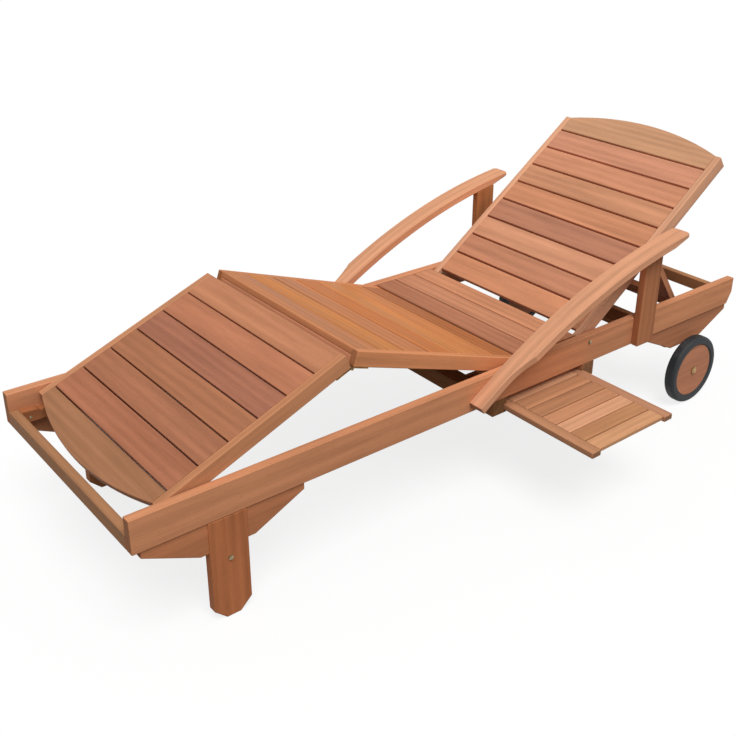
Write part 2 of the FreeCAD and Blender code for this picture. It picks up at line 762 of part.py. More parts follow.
def build_prop():
    half = "prop_thickness / 2"
    arm_end = "prop_length + prop_thickness / 2 - prop_foot_width"
    arm = rectangle(f"-{half}", arm_end, f"-{half}", half)
    hole = [("0", "0", "prop_bolt_radius + pivot_clearance")]
    pivot_end = -value("prop_thickness") / 2
    foot_end = value("prop_length") + value("prop_thickness") / 2
    rounding = "prop_thickness / 2 - prop_edge_gap"
    for side in sides:
        start = side_start(side, "prop_outer - prop_arm_width", "prop_arm_width")
        at_pivot = (lambda edge: across_at(edge, pivot_end), rounding)
        keep(board(f"prop_arm_{side}", "prop", arm, start, "prop_arm_width", hole, soft=None, ends=at_pivot))
    foot = rectangle(arm_end, "prop_length + prop_thickness / 2", f"-{half}", half)
    at_foot = (lambda edge: across_at(edge, foot_end), rounding)
    keep(board("prop_foot_board", "prop", foot, "-prop_outer", "2 * prop_outer", soft=None, ends=at_foot))
    bolts = []
    for side in sides:
        outline = [
            ("0", "0"),
            ("prop_bolt_radius", "0"),
            ("prop_bolt_radius", "prop_arm_width"),
            ("washer_radius", "prop_arm_width"),
            ("washer_radius", "prop_arm_width + prop_gap - washer_gap"),
            ("prop_bolt_radius", "prop_arm_width + prop_gap - washer_gap"),
            ("prop_bolt_radius", "prop_arm_width + prop_gap + stile_width - pivot_end_gap"),
            ("0", "prop_arm_width + prop_gap + stile_width - pivot_end_gap"),
        ]
        start = "prop_outer - prop_arm_width" if side == "right" else "prop_arm_width - prop_outer"
        bolts.append(turned(f"prop_bolt_{side}", "backrest", outline, "prop_pivot_reach", "-prop_drop", start,
                            flip=side == "left"))
    group("prop_pivot_bolts", bolts)


# Long edges along Y at one end of a board
def across_at(edge, x):
    first = edge.firstVertex().Point
    second = edge.lastVertex().Point
    return abs(first.x - x) < 1e-3 and abs(second.x - x) < 1e-3 and abs(first.y - second.y) > 1


def build_racks():
    start_x = "prop_foot_x - rack_reach_foot"
    end_x = "rail_length - crossbar_thickness - rack_end_gap"
    outline = [(start_x, "rail_bottom"), (end_x, "rail_bottom"), (end_x, "rack_top")]
    for index in reversed(range(int(value("rack_notch_count")))):
        root = f"prop_foot_x + prop_thickness / 2 + ({index} - rack_notches_below) * rack_notch_pitch"
        outline.append((f"{root} + rack_notch_rise", "rack_top"))
        outline.append((root, "rack_top - rack_notch_depth"))
        outline.append((f"{root} - rack_notch_run", "rack_top"))
    outline.append((start_x, "rack_top"))
    for side in sides:
        start = side_start(side, "rail_inner - rack_width", "rack_width")
        keep(board(f"back_rack_{side}", "frame", outline, start, "rack_width", soft=None))


def build_knee_racks():
    low = "knee_rack_top - knee_rack_height"
    slope = "knee_rack_slope"
    toe_x = "crossbar_thickness"
    land_foot = "calf_foot_x - knee_rack_land"
    land_head = "calf_foot_x + knee_rack_land"
    toe_z = f"knee_rack_top + {slope} * ({land_foot} - {toe_x})"
    outline = [
        (toe_x, low),
        (f"{land_head} + knee_rack_tail", low),
        (f"{land_head} + knee_rack_tail", "knee_rack_top"),
        (f"{land_head} + knee_notch_pitch", "knee_rack_top"),
        (f"{land_head} + knee_notch_pitch / 2", "knee_rack_top - knee_notch_depth"),
        (land_head, "knee_rack_top"),
        (land_foot, "knee_rack_top"),
        (f"{land_foot} - knee_notch_pitch / 2", "knee_rack_top - knee_notch_depth"),
        (f"{land_foot} - knee_notch_pitch", f"knee_rack_top + {slope} * knee_notch_pitch"),
        (toe_x, toe_z),
    ]
    for side in sides:
        start = side_start(side, "rail_inner - knee_rack_thickness", "knee_rack_thickness")
        keep(board(f"knee_rack_{side}", "frame", outline, start, "knee_rack_thickness", soft=None))


def build_thigh():
    outline = rectangle("-thigh_length", "thigh_tail", "stile_low", "pivot_depth")
    holes = [("0", "0", "pivot_radius + pivot_clearance")]
    for side in sides:
        start = side_start(side, "stile_inner", "stile_width")
        keep(board(f"thigh_stile_{side}", "thigh", outline, start, "stile_width", holes))
    slat_row("thigh_slats", "thigh", "thigh_slat_count", "thigh_slat_inset - thigh_length", "thigh_slat_width",
             "thigh_slat_gap", "slat_low", "pivot_depth")
    begin = "thigh_slat_inset - thigh_length"
    rail = rectangle(begin, f"{begin} + knee_rail_width", "stile_low", "slat_low")
    keep(board("knee_rail", "thigh", rail, "-stile_inner", "2 * stile_inner"))


def build_calf():
    outline = rectangle("-calf_end", "-knee_gap / 2", "calf_low", "calf_top")
    for side in sides:
        start = side_start(side, "stile_inner", "stile_width")
        keep(board(f"calf_stile_{side}", "calf", outline, start, "stile_width"))
    slat_row("calf_slats", "calf", "calf_slat_count",
             "calf_foot_depth + calf_slat_gap - calf_end",
             "calf_slat_width", "calf_slat_gap", "calf_top - calf_slat_thickness", "calf_top")
    begin = "calf_foot_depth - calf_end"
    outline = [
        (begin, "stile_inner"),
        ("-calf_end", "stile_inner", "arch_radius"),
        ("-calf_end", "-stile_inner"),
        (begin, "-stile_inner"),
    ]
    keep(board("calf_foot_slat", "calf", outline, "calf_top - slat_thickness", "slat_thickness", side="XY_Plane"))


def box(label, sizes, corner):
    thing = doc.addObject("Part::Box", label)
    for prop, formula in zip(("Length", "Width", "Height"), sizes):
        bind(thing, prop, formula)
    for axis, formula in zip("xyz", corner):
        bind(thing, f"Placement.Base.{axis}", formula)
    return thing


def rod(label, radius, length, start):
    thing = doc.addObject("Part::Cylinder", label)
    thing.Placement = Placement(Vector(), Rotation(Vector(1, 0, 0), -90))
    bind(thing, "Radius", radius)
    bind(thing, "Height", length)
    bind(thing, "Placement.Base.y", start)
    return thing


# A butt hinge leaf under one stile, about the knee axis; towards is 1 for the thigh's leaf, -1 for the calf's
def hinge_leaf(label, carrier, towards, knuckles, start):
    pieces = []
    leaf_low = "knuckle_radius - leaf_thickness"
    reach = "leaf_length" if towards > 0 else "-leaf_length"
    near = "leaf_clear" if towards > 0 else "-leaf_length"
    pieces.append(box(label + "_plate", ("leaf_length - leaf_clear", "stile_width", "leaf_thickness"),
                      (near, "0", leaf_low)))
    for index, (begin, length) in enumerate(knuckles):
        corner_x = "0" if towards > 0 else reach
        pieces.append(box(f"{label}_tongue_{index}", ("leaf_length", length, "leaf_thickness"),
                          (corner_x, begin, leaf_low)))
        pieces.append(rod(f"{label}_knuckle_{index}", "knuckle_radius", length, begin))
    solid = doc.addObject("Part::MultiFuse", label + "_solid")
    solid.Shapes = pieces
    bore = rod(label + "_bore", "hinge_pin_radius + pivot_clearance", "stile_width", "0")
    leaf = doc.addObject("Part::Cut", label)
    leaf.Base = solid
    leaf.Tool = bore
    seat_on_knee(leaf, carrier, start)
    return leaf


# Knee hardware is drawn about the knee axis, so either carrier's angle turns it there
def seat_on_knee(thing, carrier, start):
    place(thing, carrier, start)
    bind(thing, "Placement.Base.x", "knee_x - origin_x")
    bind(thing, "Placement.Base.z", "knee_z")
    doc.recompute()


def build_knee_hinges():
    outer_share = "(stile_width - knuckle_share) / 2 - knuckle_gap"
    middle = "(stile_width - knuckle_share) / 2"
    thigh_pieces = []
    calf_pieces = []
    for side in sides:
        start = side_start(side, "stile_inner", "stile_width")
        outer = [("0", outer_share), (f"stile_width - ({outer_share})", outer_share)]
        thigh_pieces.append(hinge_leaf(f"thigh_leaf_{side}", "thigh", 1, outer, start))
        calf_pieces.append(hinge_leaf(f"calf_leaf_{side}", "calf", -1, [(middle, "knuckle_share")], start))
        pin = rod(f"knee_pin_{side}", "hinge_pin_radius", "stile_width", "0")
        bind(pin, "Placement.Base.x", "knee_x - origin_x")
        bind(pin, "Placement.Base.y", f"{start} + origin_y")
        bind(pin, "Placement.Base.z", "knee_z")
        thigh_pieces.append(pin)
    group("knee_hinge_thigh", thigh_pieces)
    group("knee_hinge_calf", calf_pieces)


# A shouldered pivot bolt through a rail; its collar keeps the stile off the rail
def pivot_bolts(label, x):
    outline = [
        ("0", "0"),
        ("pivot_radius", "0"),
        ("pivot_radius", "stile_width - pivot_end_gap + washer_gap"),
        ("washer_radius", "stile_width - pivot_end_gap + washer_gap"),
        ("washer_radius", "stile_width - pivot_end_gap + side_gap"),
        ("pivot_radius", "stile_width - pivot_end_gap + side_gap"),
        ("pivot_radius", "stile_width - pivot_end_gap + side_gap + rail_thickness"),
        ("bolt_head_radius", "stile_width - pivot_end_gap + side_gap + rail_thickness"),
        ("bolt_head_radius", "stile_width - pivot_end_gap + side_gap + rail_thickness + bolt_head_height"),
        ("0", "stile_width - pivot_end_gap + side_gap + rail_thickness + bolt_head_height"),
    ]
    bolts = []
    for side in sides:
        start = "stile_inner + pivot_end_gap" if side == "right" else "-stile_inner - pivot_end_gap"
        bolts.append(turned(f"{label}_{side}", "frame", outline, x, "pivot_z", start, flip=side == "left"))
    group(label, bolts)


# Carriage bolts: head outside on the legs, inside the rail on the posts and arms
def build_frame_bolts():
    outline = [
        ("0", "-bolt_length"),
        ("bolt_radius", "-bolt_length"),
        ("bolt_radius", "0"),
        ("bolt_head_radius", "0"),
        ("bolt_head_radius", "bolt_head_height"),
        ("0", "bolt_head_height"),
    ]
    spots = {
        "leg": ("foot_block_centre", "stretcher_centre", "rail_inner + leg_thickness", True),
        "post_low": ("post_bolt_x", "post_bolt_low", "rail_inner", False),
        "post_high": ("post_bolt_x", "post_bolt_low + post_bolt_spacing", "rail_inner", False),
        "arm": ("arm_bolt_x", "arm_bolt_z", "rail_inner", False),
    }
    bolts = []
    for name, (x, z, seat, outside) in spots.items():
        for side in sides:
            start = seat if side == "right" else f"-({seat})"
            flip = (side == "left") == outside
            bolts.append(turned(f"{name}_bolt_{side}", "frame", outline, x, z, start, flip=flip))
    group("frame_bolts", bolts)


def build_tray():
    stiles = {
        "tray_stile_front": ("tray_start", "tray_start + tray_stile_width"),
        "tray_stile_rear": ("tray_end - tray_stile_width", "tray_end"),
    }
    for label, (begin, end) in stiles.items():
        outline = rectangle(begin, end, "tray_low", "tray_top")
        keep(board(label, "frame", outline, "-tray_reach", "tray_depth"))
    slats = []
    outline = rectangle("tray_start + tray_stile_width", "tray_end - tray_stile_width",
                        "tray_top - tray_slat_thickness", "tray_top")
    for index in range(int(value("tray_slat_count"))):
        start = f"tray_slat_inset - tray_reach + {index} * (tray_slat_width + tray_slat_gap)"
        slats.append(board(f"tray_slat_{index + 1}", "frame", outline, start, "tray_slat_width"))
    group("tray_slats", slats)


def build_runners():
    front_face = "tray_start + runner_groove - runner_side_gap"
    rear_face = "tray_end - runner_groove + runner_side_gap"
    runners = {
        "tray_runner_front": (f"{front_face} - runner_width", front_face, "tray_start - runner_side_gap"),
        "tray_runner_rear": (f"{rear_face} + runner_width", rear_face, "tray_end + runner_side_gap"),
    }
    for label, (back, face, groove) in runners.items():
        outline = [
            (back, "runner_bottom"),
            (face, "runner_bottom"),
            (face, "groove_low"),
            (groove, "groove_low"),
            (groove, "groove_high"),
            (face, "groove_high"),
            (face, "rail_bottom"),
            (back, "rail_bottom"),
        ]
        keep(board(label, "frame", outline, "-rail_outer", "2 * rail_outer", soft=None))


# Each hanger is lapped into the inner side of its block and leans over to the axle behind the wheel
def build_hangers():
    half = "hanger_width / 2"
    outline = [
        (f"axle_x - {half}", "axle_z - hanger_end"),
        (f"axle_x + {half}", "axle_z - hanger_end"),
        (f"axle_x + {half}", "axle_z + hanger_bend"),
        (f"hanger_top_x + {half}", "block_bottom"),
        (f"hanger_top_x + {half}", "rail_bottom"),
        (f"hanger_top_x - {half}", "rail_bottom"),
        (f"hanger_top_x - {half}", "block_bottom"),
        (f"axle_x - {half}", "axle_z + hanger_bend"),
    ]
    holes = [("axle_x", "axle_z", "axle_radius + axle_clearance")]
    for side in sides:
        label = f"axle_hanger_{side}"
        start = side_start(side, "rail_inner", "block_thickness")
        blank = board(label + "_blank", "frame", outline, start, "block_thickness", holes)
        keep(lap_cut(label, blank, side, "hanger_top_x", "hanger_width", "hanger_shoulder", "block_outer"))


def build_axle():
    stub = [
        ("0", "rail_inner"),
        ("axle_radius", "rail_inner"),
        ("axle_radius", "axle_end"),
        ("0", "axle_end"),
    ]
    stubs = []
    for side in sides:
        stubs.append(turned(f"axle_stub_{side}", "frame", stub, "axle_x", "axle_z", "0", flip=side == "left"))
    group("axle", stubs)
    spacer_end = "wheel_inner - wheel_end_gap"
    fittings = []
    for side in sides:
        flip = side == "left"
        spacer = [
            ("axle_radius + axle_clearance", "block_outer"),
            ("hub_radius", "block_outer"),
            ("hub_radius", spacer_end),
            ("axle_radius + axle_clearance", spacer_end),
        ]
        cap = [
            ("0", "axle_end"),
            ("cap_radius", "axle_end"),
            ("cap_radius", "axle_end + cap_height / 2"),
            ("cap_radius / 2", "axle_end + cap_height"),
            ("0", "axle_end + cap_height"),
        ]
        fittings.append(turned(f"axle_spacer_{side}", "frame", spacer, "axle_x", "axle_z", "0", flip=flip))
        fittings.append(turned(f"axle_cap_{side}", "frame", cap, "axle_x", "axle_z", "0", flip=flip))
    group("axle_fittings", fittings)


def build_wheels():
    bore = "axle_radius + axle_clearance"
    outer = "wheel_outer - disc_recess"
    inner = "wheel_inner + disc_recess"
    for side in sides:
        flip = side == "left"
        disc = [
            (bore, "wheel_inner"),
            ("hub_radius", "wheel_inner"),
            ("hub_radius", inner),
            ("tyre_inside_radius", inner),
            ("tyre_inside_radius", outer),
            (bore, outer),
        ]
        keep(turned(f"wheel_disc_{side}", "frame", disc, "axle_x", "axle_z", "0", flip=flip))
        tyre = [
            ("tyre_inside_radius", "wheel_inner + tyre_round / 2"),
            ("tyre_inside_radius + tyre_round / 2", "wheel_inner"),
            ("wheel_radius - tyre_round", "wheel_inner", "tyre_round"),
            ("wheel_radius", "wheel_inner + tyre_round"),
            ("wheel_radius", "wheel_outer - tyre_round", "tyre_round"),
            ("wheel_radius - tyre_round", "wheel_outer"),
            ("tyre_inside_radius + tyre_round / 2", "wheel_outer"),
            ("tyre_inside_radius", "wheel_outer - tyre_round / 2"),
        ]
        keep(turned(f"tyre_{side}", "frame", tyre, "axle_x", "axle_z", "0", flip=flip))


def check_and_write():
    doc.recompute()
    for thing in doc.Objects:
        if "Invalid" in thing.State or "Error" in thing.State:
            raise RuntimeError(f"{thing.Label} failed: {thing.State}")
    for node in nodes:
        if node.Shape.isNull() or not node.Shape.isValid() or not node.Shape.Solids:
            raise RuntimeError(f"{node.Label} has no valid solid")
    os.makedirs("parts", exist_ok=True)
    for node in nodes:
        node.Shape.exportStep(f"parts/{node.Label}.step")
    print(len(nodes), "nodes,", sum(len(node.Shape.Solids) for node in nodes), "solids")


fill_sheet()
build_rails()
build_crossbars()
build_blocks()
build_legs()
build_arms()
build_posts()
build_seat()
build_backrest()
build_prop()
build_racks()
build_knee_racks()
build_thigh()
build_calf()
build_knee_hinges()
pivot_bolts("back_pivot_bolts", "back_pivot_x")
pivot_bolts("thigh_pivot_bolts", "thigh_pivot_x")
build_frame_bolts()
build_tray()
build_runners()
build_hangers()
build_axle()
build_wheels()
check_and_write()
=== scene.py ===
import json
import math

import bpy
from mathutils import Matrix, Vector


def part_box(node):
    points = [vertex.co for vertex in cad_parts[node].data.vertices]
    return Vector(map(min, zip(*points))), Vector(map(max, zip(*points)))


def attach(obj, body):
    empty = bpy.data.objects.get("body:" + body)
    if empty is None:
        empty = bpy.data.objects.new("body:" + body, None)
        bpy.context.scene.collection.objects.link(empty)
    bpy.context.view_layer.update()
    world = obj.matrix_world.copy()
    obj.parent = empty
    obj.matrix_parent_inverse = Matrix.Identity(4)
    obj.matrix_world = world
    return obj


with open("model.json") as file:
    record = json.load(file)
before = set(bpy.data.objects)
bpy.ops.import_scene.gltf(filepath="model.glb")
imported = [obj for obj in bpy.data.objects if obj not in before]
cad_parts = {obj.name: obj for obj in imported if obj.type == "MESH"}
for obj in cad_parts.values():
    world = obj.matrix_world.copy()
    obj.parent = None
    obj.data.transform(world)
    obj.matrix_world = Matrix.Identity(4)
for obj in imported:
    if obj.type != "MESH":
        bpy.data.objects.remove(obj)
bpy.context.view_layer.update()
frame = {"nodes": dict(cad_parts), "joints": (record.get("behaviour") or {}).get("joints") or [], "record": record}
nodes = frame["nodes"]
joints = {joint["name"]: joint for joint in frame["joints"]}
ratios = {pair["joint"]: abs(pair["ratio"]) for pair in frame["record"]["behaviour"]["couplings"]}

# How far each panel leans from level in the drawn pose, and where it turns
backTilt = -joints["back_recline"]["range_deg"][0]
thighTilt = -joints["thigh_lift"]["range_deg"][0]
propTilt = backTilt * (ratios["prop_swing"] - 1)
calfTilt = thighTilt * (ratios["knee_fold"] - 1)
backPivot = Vector(joints["back_recline"]["pos_m"])
propPivot = Vector(joints["prop_swing"]["pos_m"])
thighPivot = Vector(joints["thigh_lift"]["pos_m"])
kneePivot = Vector(joints["knee_fold"]["pos_m"])
middleY = backPivot.y      # the lounger's centre plane
mm = 0.001


def hexColour(text):
    channels = [int(text[i:i + 2], 16) / 255 for i in (1, 3, 5)]
    return [c / 12.92 if c <= 0.04045 else ((c + 0.055) / 1.055) ** 2.4 for c in channels] + [1.0]


def addNode(tree, kind, inputs=None, **settings):
    node = tree.nodes.new(kind)
    for key, value in settings.items():
        setattr(node, key, value)
    for key, value in (inputs or {}).items():
        if isinstance(value, bpy.types.NodeSocket):
            tree.links.new(value, node.inputs[key])
        else:
            node.inputs[key].default_value = value
    return node


def maths(tree, operation, first, second=0.5, clamp=False):
    node = addNode(tree, "ShaderNodeMath", {0: first, 1: second}, operation=operation, use_clamp=clamp)
    return node.outputs[0]


def vectorMaths(tree, operation, first, second):
    return addNode(tree, "ShaderNodeVectorMath", {0: first, 1: second}, operation=operation).outputs[0]


def separate(tree, vector):
    return addNode(tree, "ShaderNodeSeparateXYZ", {0: vector}).outputs


def combine(tree, parts):
    return addNode(tree, "ShaderNodeCombineXYZ", parts).outputs[0]


def noise(tree, vector, scale, detail, roughness=0.5):
    inputs = {"Vector": vector, "Scale": scale, "Detail": detail, "Roughness": roughness}
    return addNode(tree, "ShaderNodeTexNoise", inputs).outputs["Fac"]


# Goes from 0 to top while the value passes from the first limit to the second
def rise(tree, value, limits, top=1.0):
    return addNode(tree, "ShaderNodeMapRange", {0: value, 1: limits[0], 2: limits[1], 4: top}).outputs[0]


def blend(tree, factor, first, second, kind="MIX"):
    node = addNode(tree, "ShaderNodeMix", {"Factor": factor, "A": first, "B": second},
                   data_type="RGBA", blend_type=kind)
    return node.outputs["Result"]


def startGroup(name, inputs, outputs):
    group = bpy.data.node_groups.new(name, "ShaderNodeTree")
    for label, kind, default in inputs:
        socket = group.interface.new_socket(label, in_out="INPUT", socket_type="NodeSocket" + kind)
        if default is not None:
            socket.default_value = default
    for label, kind in outputs:
        group.interface.new_socket(label, in_out="OUTPUT", socket_type="NodeSocket" + kind)
    return group, group.nodes.new("NodeGroupInput").outputs, group.nodes.new("NodeGroupOutput").inputs


def useGroup(tree, group, inputs):
    return addNode(tree, "ShaderNodeGroup", inputs, node_tree=group).outputs


noOddBoard = 99.0      # a place that no row reaches


# Gives every board of a row its own three random numbers, and marks the row's one odd board
def makeBoardNumber():
    group, given, result = startGroup(
        "boardNumber",
        [("Vector", "Vector", None), ("Start", "Vector", None), ("Pitch", "Vector", (9, 9, 9)),
         ("Seed", "Float", 0.0), ("Odd Board", "Float", noOddBoard)],
        [("Board", "Vector"), ("Odd", "Float")])
    fromStart = vectorMaths(group, "SUBTRACT", given["Vector"], given["Start"])
    cell = vectorMaths(group, "DIVIDE", fromStart, given["Pitch"])
    cell = addNode(group, "ShaderNodeVectorMath", {0: cell}, operation="FLOOR").outputs[0]
    seeded = vectorMaths(group, "ADD", cell, combine(group, {0: given["Seed"]}))
    random = addNode(group, "ShaderNodeTexWhiteNoise", {"Vector": seeded}, noise_dimensions="3D")
    group.links.new(random.outputs["Color"], result["Board"])
    row = separate(group, cell)[1]
    odd = addNode(group, "ShaderNodeMath", {0: row, 1: given["Odd Board"], 2: 0.5}, operation="COMPARE")
    group.links.new(odd.outputs[0], result["Odd"])
    return group


# Layers of noise, scaled along and across the grain, with their shares of tone, roughness and relief
grainLayers = {
    "fibres": {"scale": (14, 640, 640), "detail": 2, "shade": 0.35, "rough": 0.22, "relief": 0.7},
    "streaks": {"scale": (2.6, 95, 95), "detail": 5, "shade": 0.5, "relief": 0.5},
    "bands": {"scale": (2.4, 26, 26), "detail": 4, "shade": 1.0, "rough": 0.7},
    "pores": {"scale": (60, 1150, 1150), "detail": 1},
}
grainLook = {"noiseRoughness": 0.6, "boardShift": (31, 17, 23), "shadeOffset": 0.425, "warmth": 0.1,
             "poreLimits": (0.63, 0.75), "poreDepth": 0.22, "endDull": 0.38, "endRough": 0.14}
# Growth rings around a pith beside the board
ringLook = {"stretch": (0.09, 1, 1), "pithSpread": (0.0, 0.34, 0.22), "pithPlace": (0.0, 0.17, 0.29),
            "scale": 15.0, "distortion": 4.0, "detail": 2.5, "detailScale": 0.7}


# Sawn and oiled hardwood: X of its vector runs along the grain
def makeBoardGrain():
    group, given, result = startGroup(
        "boardGrain",
        [("Vector", "Vector", None), ("Board", "Vector", None), ("End", "Float", 0.0),
         ("Light", "Color", (0.5, 0.25, 0.12, 1)), ("Dark", "Color", (0.3, 0.12, 0.05, 1)),
         ("Figure", "Float", 0.3), ("Spread", "Float", 0.25), ("Hue Spread", "Float", 0.02),
         ("Odd", "Float", 0.0), ("Odd Tint", "Color", (1, 1, 1, 1))],
        [("Color", "Color"), ("Roughness", "Float"), ("Height", "Float")])
    random = separate(group, given["Board"])
    ownPlace = vectorMaths(group, "MULTIPLY", given["Board"], grainLook["boardShift"])
    shifted = vectorMaths(group, "ADD", given["Vector"], ownPlace)
    layers = {}
    for name, layer in grainLayers.items():
        vector = vectorMaths(group, "MULTIPLY", shifted, layer["scale"])
        layers[name] = noise(group, vector, 1.0, layer["detail"], grainLook["noiseRoughness"])

    def total(share):
        parts = [maths(group, "MULTIPLY", layers[name], layer[share])
                 for name, layer in grainLayers.items() if share in layer]
        added = parts[0]
        for part in parts[1:]:
            added = maths(group, "ADD", added, part)
        return added

    def varied(value, spread):
        return maths(group, "MULTIPLY", maths(group, "SUBTRACT", value, 0.5), spread)

    pith = vectorMaths(group, "MULTIPLY", given["Board"], ringLook["pithSpread"])
    pith = vectorMaths(group, "SUBTRACT", pith, ringLook["pithPlace"])
    drawnOut = vectorMaths(group, "MULTIPLY", given["Vector"], ringLook["stretch"])
    rings = addNode(group, "ShaderNodeTexWave",
                    {"Vector": vectorMaths(group, "ADD", drawnOut, pith), "Scale": ringLook["scale"],
                     "Distortion": ringLook["distortion"], "Detail": ringLook["detail"],
                     "Detail Scale": ringLook["detailScale"]},
                    wave_type="RINGS", rings_direction="X").outputs["Fac"]
    shade = maths(group, "SUBTRACT", total("shade"), grainLook["shadeOffset"])
    shade = maths(group, "ADD", shade, varied(rings, given["Figure"]), clamp=True)
    colour = blend(group, shade, given["Dark"], given["Light"])
    colour = blend(group, given["Odd"], colour, given["Odd Tint"], "MULTIPLY")
    pores = rise(group, layers["pores"], grainLook["poreLimits"], grainLook["poreDepth"])
    dull = maths(group, "MAXIMUM", pores, maths(group, "MULTIPLY", given["End"], grainLook["endDull"]))
    tone = maths(group, "ADD", varied(random[0], given["Spread"]), 1.0)
    hue = maths(group, "ADD", varied(random[1], given["Hue Spread"]), 0.5)
    warmth = maths(group, "ADD", varied(random[2], grainLook["warmth"]), 1.0)
    tinted = addNode(group, "ShaderNodeHueSaturation",
                     {"Hue": hue, "Saturation": warmth, "Value": maths(group, "SUBTRACT", tone, dull),
                      "Color": colour})
    group.links.new(tinted.outputs[0], result["Color"])
    endRough = maths(group, "MULTIPLY", given["End"], grainLook["endRough"])
    group.links.new(maths(group, "ADD", total("rough"), endRough), result["Roughness"])
    group.links.new(maths(group, "SUBTRACT", total("relief"), pores), result["Height"])
    return group


endLimits = (0.6, 0.85)      # how squarely a face meets the grain where it turns into end grain


# Straightens a bowed board: X follows the bow, Z goes through its thickness
def makeBowSpot():
    group, given, result = startGroup(
        "bowSpot",
        [("Vector", "Vector", None), ("Normal", "Vector", None), ("Centre", "Vector", None),
         ("Radius", "Float", 1.7)],
        [("Vector", "Vector"), ("End", "Float")])
    spot = separate(group, vectorMaths(group, "SUBTRACT", given["Vector"], given["Centre"]))
    normal = separate(group, given["Normal"])
    turn = maths(group, "ARCTAN2", spot[0], spot[2])
    squares = [maths(group, "POWER", spot[axis], 2) for axis in (0, 2)]
    reach = maths(group, "SQRT", maths(group, "ADD", *squares))
    along = maths(group, "MULTIPLY", turn, given["Radius"])
    through = maths(group, "SUBTRACT", reach, given["Radius"])
    group.links.new(combine(group, {0: along, 1: spot[1], 2: through}), result["Vector"])
    lean = maths(group, "SUBTRACT", maths(group, "MULTIPLY", normal[0], maths(group, "COSINE", turn)),
                 maths(group, "MULTIPLY", normal[2], maths(group, "SINE", turn)))
    group.links.new(rise(group, maths(group, "ABSOLUTE", lean), endLimits), result["End"])
    return group


wearLook = {"cloudScale": 160.0, "cloudDetail": 4, "scratchScale": (2600, 180, 2600), "scratchDetail": 2,
            "patchLimits": (0.42, 0.66), "patchRough": 0.22, "scratchRough": 0.08,
            "bump": 0.12, "depth": 0.0002}


# Worn metal: a cloudy dulling and fine scratches
def makeMetalWear():
    group, given, result = startGroup(
        "metalWear",
        [("Vector", "Vector", None), ("Clean", "Color", (0.6, 0.6, 0.58, 1)),
         ("Dull", "Color", (0.4, 0.38, 0.35, 1)), ("Roughness", "Float", 0.35)],
        [("Color", "Color"), ("Roughness", "Float"), ("Height", "Float")])
    cloud = noise(group, given["Vector"], wearLook["cloudScale"], wearLook["cloudDetail"])
    drawnOut = vectorMaths(group, "MULTIPLY", given["Vector"], wearLook["scratchScale"])
    scratch = noise(group, drawnOut, 1.0, wearLook["scratchDetail"])
    patch = rise(group, cloud, wearLook["patchLimits"])
    group.links.new(blend(group, patch, given["Clean"], given["Dull"]), result["Color"])
    rough = maths(group, "ADD", given["Roughness"], maths(group, "MULTIPLY", patch, wearLook["patchRough"]))
    scratchRough = maths(group, "MULTIPLY", scratch, wearLook["scratchRough"])
    group.links.new(maths(group, "ADD", rough, scratchRough), result["Roughness"])
    group.links.new(scratch, result["Height"])
    return group


boardNumber = makeBoardNumber()
boardGrain = makeBoardGrain()
bowSpot = makeBowSpot()
metalWear = makeMetalWear()
print("shader groups made")


# Turns a panel's own lengthwise, crosswise or upright direction into the grain's X
def grainTurn(lean, along):
    tilt = Matrix.Rotation(math.radians(lean), 4, "Y")
    turn = {"x": Matrix.Identity(4), "y": Matrix.Rotation(math.radians(90), 4, "Z"),
            "z": Matrix.Rotation(math.radians(-90), 4, "Y")}[along]
    return (tilt @ turn).to_euler()


def startMaterial(name):
    material = bpy.data.materials.new(name)
    material.use_nodes = True
    tree = material.node_tree
    return material, tree, tree.nodes["Principled BSDF"], addNode(tree, "ShaderNodeTexCoord")


def addRelief(tree, surface, height, look):
    relief = addNode(tree, "ShaderNodeBump",
                     {"Strength": look["bump"], "Distance": look["depth"], "Height": height})
    tree.links.new(relief.outputs[0], surface.inputs["Normal"])


def finishSurface(tree, surface, outputs, look):
    tree.links.new(outputs["Color"], surface.inputs["Base Color"])
    tree.links.new(outputs["Roughness"], surface.inputs["Roughness"])
    addRelief(tree, surface, outputs["Height"], look)


# Every wood has one middle colour, which its grain lightens and darkens
woodLook = {"lightest": 1.32, "darkest": 0.66, "figure": 0.18, "spread": 0.24, "hueSpread": 0.008,
            "oddTint": (1, 1, 1, 1), "bump": 0.35, "depth": 0.0005, "shine": 0.015}


def shaded(text, share):
    return [channel * share for channel in hexColour(text)[:3]] + [1.0]


def turned(tree, vector, turn, pivot=(0, 0, 0)):
    return addNode(tree, "ShaderNodeMapping", {"Vector": vector, "Location": pivot, "Rotation": turn},
                   vector_type="TEXTURE").outputs[0]


